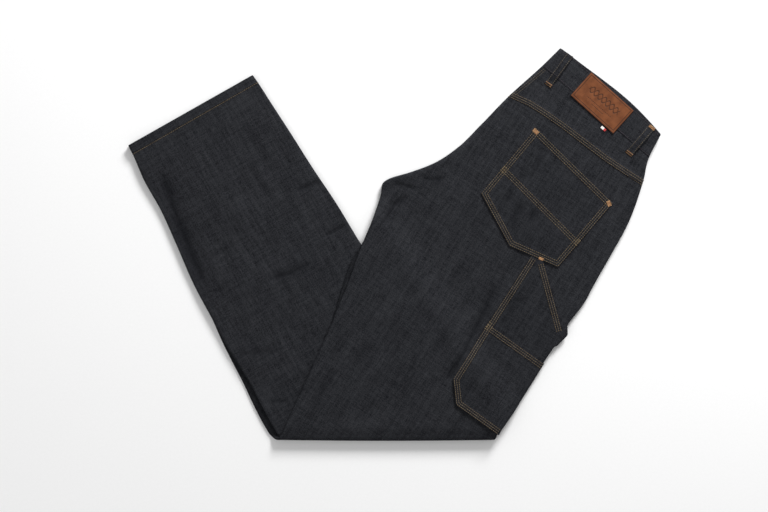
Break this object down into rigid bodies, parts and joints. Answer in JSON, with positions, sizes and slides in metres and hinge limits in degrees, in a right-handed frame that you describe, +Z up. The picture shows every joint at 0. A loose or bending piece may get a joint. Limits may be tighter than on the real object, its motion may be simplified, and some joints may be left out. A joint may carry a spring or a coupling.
{
  "type": "folded work trousers",
  "caption": "Dark denim carpenter trousers folded flat in half, with the shins turned under at the knees",
  "frame": {"origin": "centre of the folded garment's outline, on the surface it lies on", "axes": "+X across the folded garment towards its hips, +Y along the surface towards the waist and hems, +Z up through the folded layers"},
  "size_m": [0.7786, 0.5728, 0.0194],
  "materials": {
    "denim_body": "raw dark indigo denim, matt",
    "denim_pieces": "raw dark indigo denim, matt, doubled",
    "leather_patch": "tan waistband patch, satin"
  },
  "bodies": {
    "root": {"hidden_layers": "denim_body", "back_right": "denim_body", "back_left": "denim_body", "yoke_right": "denim_body", "waistband": "denim_body", "hem_left": "denim_body", "hem_right": "denim_body", "back_pocket": "denim_pieces", "ruler_pocket": "denim_pieces", "tool_pocket": "denim_pieces", "belt_loop_centre": "denim_pieces", "belt_loop_side": "denim_pieces", "patch": "leather_patch"}
  },
  "joints": []
}
